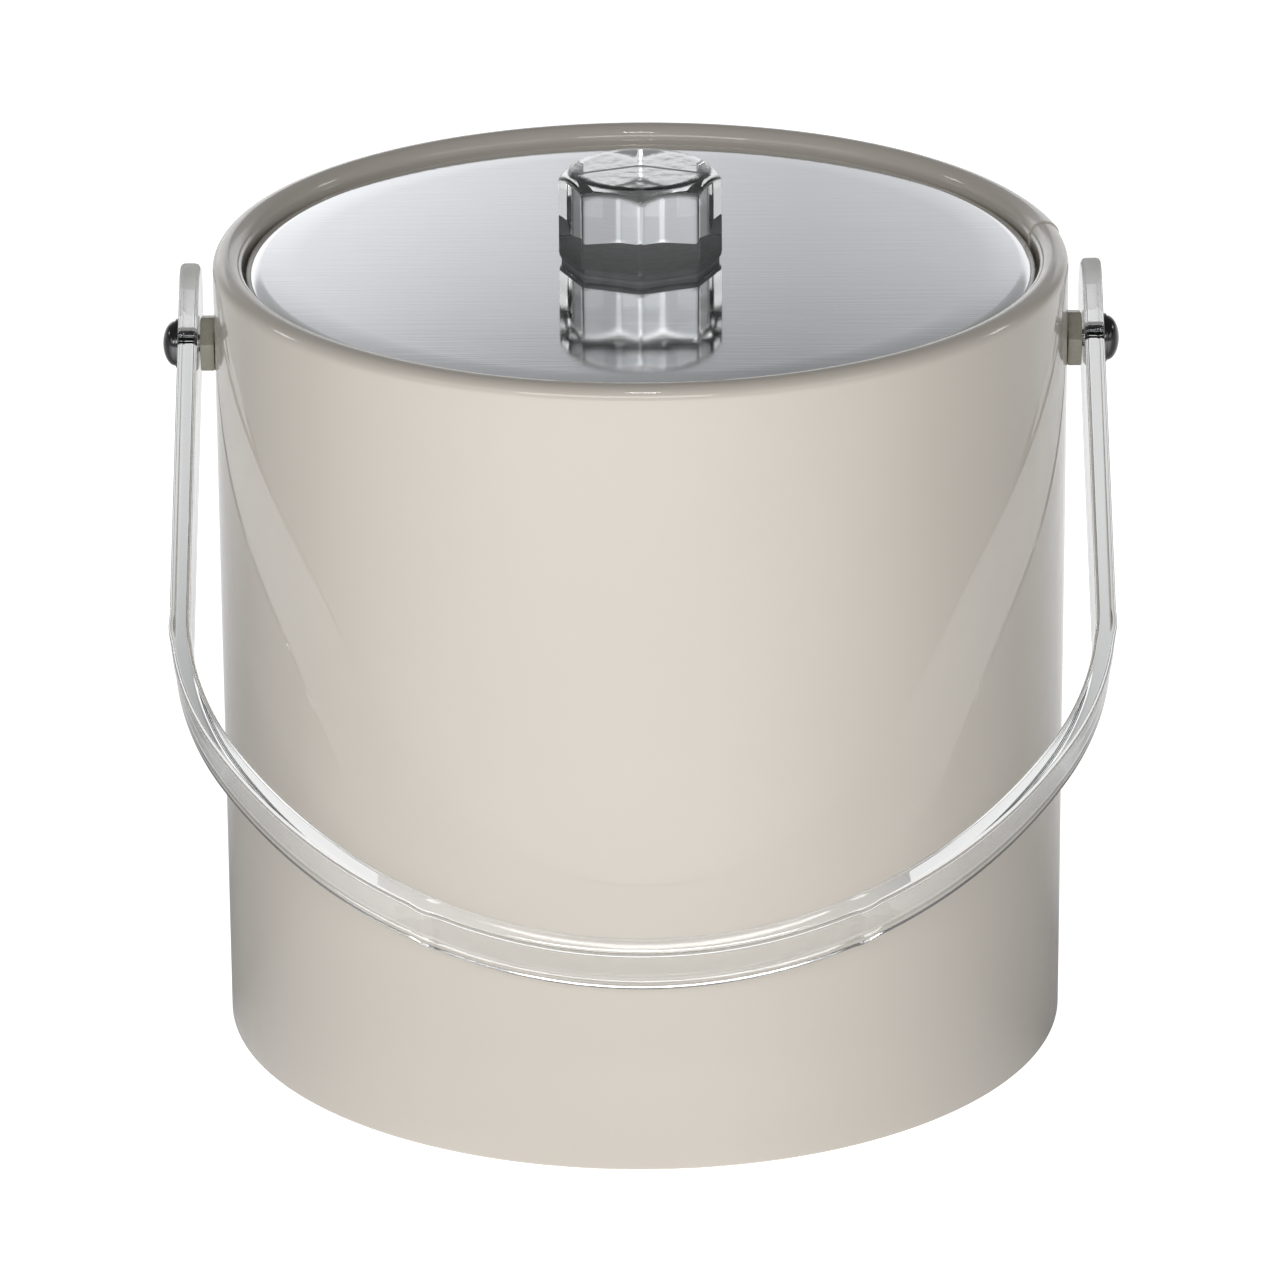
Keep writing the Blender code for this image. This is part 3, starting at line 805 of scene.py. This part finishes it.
def strap_line():
    """The strap's mid line in its own plane: where(u) at the length u from the middle of the bow, with
    the lengths of half the bow and of one bend."""
    hub = Vector((0.0, BOW_CENTRE_S))
    crossing = math.acos((STRAP_BEND_S - BOW_CENTRE_S) / BOW_R)
    foot = hub + BOW_R * Vector((math.sin(crossing), math.cos(crossing)))
    up = (Vector((STRAP_INNER_X + STRAP_T / 2, 0.0)) - foot).normalized()
    leg_out = Vector((-up.y, up.x))
    sideways = (foot - hub).dot(leg_out) - BEND_R
    bend_hub = hub + sideways * leg_out - math.sqrt((BOW_R - BEND_R) ** 2 - sideways ** 2) * up
    bow_angle = math.atan2(bend_hub.x - hub.x, bend_hub.y - hub.y)
    leg_angle = math.atan2(leg_out.x, leg_out.y)
    half_bow = BOW_R * bow_angle
    bend = BEND_R * (leg_angle - bow_angle)

    def where(u):
        length = abs(u)
        if length <= half_bow:
            angle, centre, radius = length / BOW_R, hub, BOW_R
        else:
            angle = min(leg_angle, bow_angle + (length - half_bow) / BEND_R)
            centre, radius = bend_hub, BEND_R
        out = Vector((math.sin(angle), math.cos(angle)))
        place = centre + radius * out + max(0.0, length - half_bow - bend) * up
        if u < 0.0:
            place.x, out.x = -place.x, -out.x
        return place, out

    return where, half_bow, bend


def strap_path():
    """Stations along the strap's mid line: place, outward direction, and extra outside thickness."""
    where, half_bow, bend = strap_line()
    bow_band = BOW_R * math.radians(BAND_BOW_DEG)
    bend_band = half_bow + BEND_R * math.radians(BAND_BEND_DEG) - BEND_R * half_bow / BOW_R
    centres = (-bend_band, -bow_band, bow_band, bend_band)
    curved = half_bow + bend
    marks = {}
    steps = 150
    for i in range(steps + 1):
        u = -curved + 2.0 * curved * i / steps
        if all(abs(u - c) > BAND_L / 2 + BAND_RAMP for c in centres):
            marks[u] = 0.0
    for centre in centres:
        for share in (-1.0, -0.6, -0.2, 0.2, 0.6, 1.0):
            marks[centre + share * (BAND_L / 2 - BAND_RAMP)] = BAND_H
        for sign in (-1.0, 1.0):
            marks[centre + sign * (BAND_L / 2 - BAND_RAMP / 2)] = BAND_H / 2
            marks[centre + sign * BAND_L / 2] = 0.0
    reach = curved + STRAP_BEND_S + STRAP_END_S + STRAP_W * 0.7
    for share in (0.05, 0.1, 0.3, 0.5, 0.7, 0.85, 1.0):
        for sign in (-1.0, 1.0):
            marks[sign * (curved + (reach - curved) * share)] = 0.0
    return [(*where(u), marks[u]) for u in sorted(marks)]


def strap_section(extra):
    """Rounded rectangle across the strap: outward offset and place along the width."""
    half_t, half_w, ease, steps = STRAP_T / 2, STRAP_W / 2, STRAP_EDGE_R, 6
    points = []
    for out_sign, width_sign, start in ((1, 1, 0), (-1, 1, 90), (-1, -1, 180), (1, -1, 270)):
        top = half_t + (extra if out_sign > 0 else 0.0)
        centre = (out_sign * (top - ease), width_sign * (half_w - ease))
        points += arc(centre, ease, start, start + 90, steps)
    return points


def to_world(across, down, width):
    """From the strap's own axes at rest to the row's frame."""
    s, c = math.sin(STRAP_REST), math.cos(STRAP_REST)
    return Vector((across, -down * s + width * c, PIVOT_Z - down * c - width * s))


def make_end_cutter(frosted):
    """The block that the strap is trimmed to: its half-round ends, with their edges rounded over."""
    reach = 1.3 * BODY_R
    inner, outer, ease = STRAP_INNER_X, STRAP_INNER_X + STRAP_T, STRAP_EDGE_R
    places = [(inner - 0.004, ease), (inner, ease)]
    for i in range(1, 6):
        swing = math.radians(18.0 * i)
        places.append((inner + ease * (1 - math.cos(swing)), ease * (1 - math.sin(swing))))
    for i in range(5, 0, -1):
        swing = math.radians(18.0 * i)
        places.append((outer - ease * (1 - math.cos(swing)), ease * (1 - math.sin(swing))))
    places += [(outer, ease), (reach, ease)]
    places = [(-x, inset) for x, inset in reversed(places)] + places

    bm = bmesh.new()
    layers = []
    for x, inset in places:
        outline = arc((0.0, -STRAP_END_S), STRAP_W / 2 - inset, 0, -180, 48)
        outline += [(-STRAP_W, 0.02), (-STRAP_W, 0.30), (STRAP_W, 0.30), (STRAP_W, 0.02)]
        layers.append([bm.verts.new(to_world(x, down, width)) for width, down in outline])
    for first, second in zip(layers, layers[1:]):
        for i in range(len(first)):
            k = (i + 1) % len(first)
            bm.faces.new((first[i], first[k], second[k], second[i]))
    bm.faces.new(layers[0][::-1])
    bm.faces.new(layers[-1])
    bmesh.ops.recalc_face_normals(bm, faces=bm.faces)
    ends = to_object("strap_ends", bm)
    ends.data.materials.append(frosted)
    return ends


def make_strap(clear, frosted):
    bm = bmesh.new()
    rings = []
    for place, out, extra in strap_path():
        ring = []
        for offset, width in strap_section(extra):
            spot = place + out * offset
            ring.append(bm.verts.new(to_world(spot.x, spot.y, width)))
        rings.append(ring)
    for first, second in zip(rings, rings[1:]):
        for i in range(len(first)):
            k = (i + 1) % len(first)
            bm.faces.new((first[i], first[k], second[k], second[i]))
    bm.faces.new(rings[0])
    bm.faces.new(rings[-1][::-1])
    bmesh.ops.recalc_face_normals(bm, faces=bm.faces)
    strap = to_object("clear_handle", bm)
    strap.data.materials.append(clear)

    ends = make_end_cutter(frosted)

    bm = bmesh.new()
    turn = Matrix.Translation((0.0, 0.0, PIVOT_Z)) @ Matrix.Rotation(math.pi / 2, 4, "Y")
    bmesh.ops.create_cone(
        bm, cap_ends=True, segments=48, radius1=BORE_R, radius2=BORE_R, depth=2.6 * BODY_R, matrix=turn)
    bore = to_object("strap_bore", bm)
    bore.data.materials.append(clear)

    for cutter, operation in ((ends, "INTERSECT"), (bore, "DIFFERENCE")):
        cut = strap.modifiers.new(cutter.name, "BOOLEAN")
        cut.operation = operation
        cut.solver = "EXACT"
        cut.material_mode = "TRANSFER"
        cut.object = cutter
    settle(strap)
    bpy.data.objects.remove(ends, do_unlink=True)
    bpy.data.objects.remove(bore, do_unlink=True)
    smooth(strap, 30.0)
    weigh_normals(strap)
    # Soft light passes the clear strap as if it weren't there, so it casts no dark shading on the wall.
    strap.visible_diffuse = False
    declare(strap, "handle", "handle_strap")


def settle(obj):
    """Apply an object's modifiers to its mesh."""
    graph = bpy.context.evaluated_depsgraph_get()
    mesh = bpy.data.meshes.new_from_object(obj.evaluated_get(graph))
    obj.modifiers.clear()
    obj.data = mesh


# Lid --------------------------------------------------------------------------------------------

def make_lid_plate(metal):
    top = LID_HIGH.z
    flat_r = LID_HIGH.x - LID_SHOULDER

    def face(inset):
        points = [(0.0, top - inset)]
        points += stepped((0.0, top - inset), (flat_r, top - inset), 0.010)
        for i in range(1, 17):
            turn = i / 16 * math.pi / 2
            across = flat_r + (LID_SHOULDER - inset) * math.sin(turn)
            points.append((across, top - inset - LID_SHOULDER_DROP * 1.6 * (1 - math.cos(turn))))
        points.append((LID_HIGH.x - inset, LID_LOW.z))
        return points

    plate = lathe("lid_metal_plate", face(0.0) + face(LID_T)[::-1], even_angles(LATHE_STEPS))
    smooth(plate)
    finish_piece(plate, metal, "lid", "lid_plate")


def make_lid_pan(plastic):
    """The underside: a seat flange and a shallow plug with a raised ring moulded under its floor."""
    seat_z = LEDGE_Z + 0.0003
    seat_r = PAN_HIGH.x
    floor = PAN_LOW.z
    inner_r = PLUG_R - PLUG_T
    corners = [
        (0.0, floor + PLUG_T, 0.0), (inner_r, floor + PLUG_T, 0.0006), (inner_r, PAN_HIGH.z, 0.0003),
        (seat_r, PAN_HIGH.z, 0.0003), (seat_r, seat_z, 0.0003), (PLUG_R, seat_z, 0.0005),
        (PLUG_R, floor, 0.0016), (0.066, floor, 0.0008), (0.0645, floor + 0.0007, 0.0008),
        (0.0, floor + 0.0007, 0.0)]
    pan = lathe("lid_pan", filleted(corners, 6), even_angles(LATHE_STEPS))
    smooth(pan)
    weigh_normals(pan)
    finish_piece(pan, plastic, "lid", "lid_underside")


def octagon(angle, apothem):
    return polygon_radius(angle, 8, apothem, 130.0, 0.0)


def make_knob(clear, pad_look):
    """Octagonal prism with a corner to the front, its top edge turned round on a lathe."""
    low, high = KNOB_LOW.z, KNOB_HIGH.z
    apothem = KNOB_HIGH.x * math.cos(math.pi / 8)
    edge_r = KNOB_TOP_R + KNOB_EDGE
    wall_top = high - KNOB_EDGE_DROP
    shoulder = [(KNOB_TOP_R + KNOB_EDGE * i / 12, high - KNOB_EDGE_DROP * (i / 12) ** 1.25)
                for i in range(1, 13)]
    turned = [(KNOB_TOP_R * i / 8, high) for i in range(9)] + shoulder
    turned += stepped((edge_r, wall_top), (edge_r + 0.001, low + 0.0012), 0.0008)
    turned += arc((KNOB_HIGH.x - KNOB_FOOT_R, low + KNOB_FOOT_R), KNOB_FOOT_R, 0, -90, 7)
    turned += [(KNOB_HIGH.x * 0.8, low), (KNOB_HIGH.x * 0.4, low), (0.0, low)]
    soft = 90.0

    def shape(angle, r, z, index):
        limit = octagon(angle, apothem)
        if r < limit * 0.93:
            return r, z
        return (r ** -soft + limit ** -soft) ** (-1.0 / soft), z

    knob = lathe("clear_knob", turned, even_angles(320), shape)
    smooth(knob, 24.0)
    finish_piece(knob, clear, "lid", "knob")

    top, bottom = low + PAD_RISE, LID_HIGH.z + 0.00002
    pad_r = apothem - 0.0006

    def pad_shape(angle, r, z, index):
        return octagon(angle, r), z

    pad = lathe("knob_bond", [(0.0, top), (pad_r, top), (pad_r, bottom), (0.0, bottom)],
                even_angles(160), pad_shape)
    smooth(pad)
    finish_piece(pad, pad_look, "lid", "knob_pad")


# CAD nodes that stay ----------------------------------------------------------------------------

def keep_node(name, material):
    node = frame["nodes"][name]
    node.data.materials.clear()
    node.data.materials.append(material)


def main():
    make_camera()
    make_world()
    make_lights()
    make_floor()

    vinyl = patent_vinyl()
    liner_plastic = moulded_plastic(
        "liner_plastic", (0.70, 0.69, 0.655), (0.76, 0.75, 0.715), 0.30, 0.45)
    spacer_plastic = moulded_plastic(
        "spacer_plastic", (0.30, 0.285, 0.235), (0.34, 0.325, 0.27), 0.22, 0.34)
    board, foam, zinc = paperboard(), rigid_foam(), bright_zinc()
    chrome, clear = dark_chrome(), clear_acrylic()

    make_wrap(vinyl)
    make_liner(liner_plastic)
    make_base_pad(felt())
    for side_name, side in (("left", -1), ("right", 1)):
        make_spacer("hex_spacer_" + side_name, side, spacer_plastic)
        make_screw("dome_screw_" + side_name, "pivot_screw_" + side_name, side, chrome)
        keep_node("backing_washer_" + side_name, zinc)
        keep_node("pivot_nut_" + side_name, zinc)
    for name in ("outer_shell", "rim_ring", "base_cap"):
        keep_node(name, board)
    for name in ("insulation_sleeve", "insulation_base", "lid_core"):
        keep_node(name, foam)
    make_strap(clear, frosted_acrylic())
    make_lid_plate(polished_lid())
    make_lid_pan(liner_plastic)
    make_knob(clear, bond_pad_painted_light())

    bpy.context.scene.view_settings.view_transform = "Standard"


main()
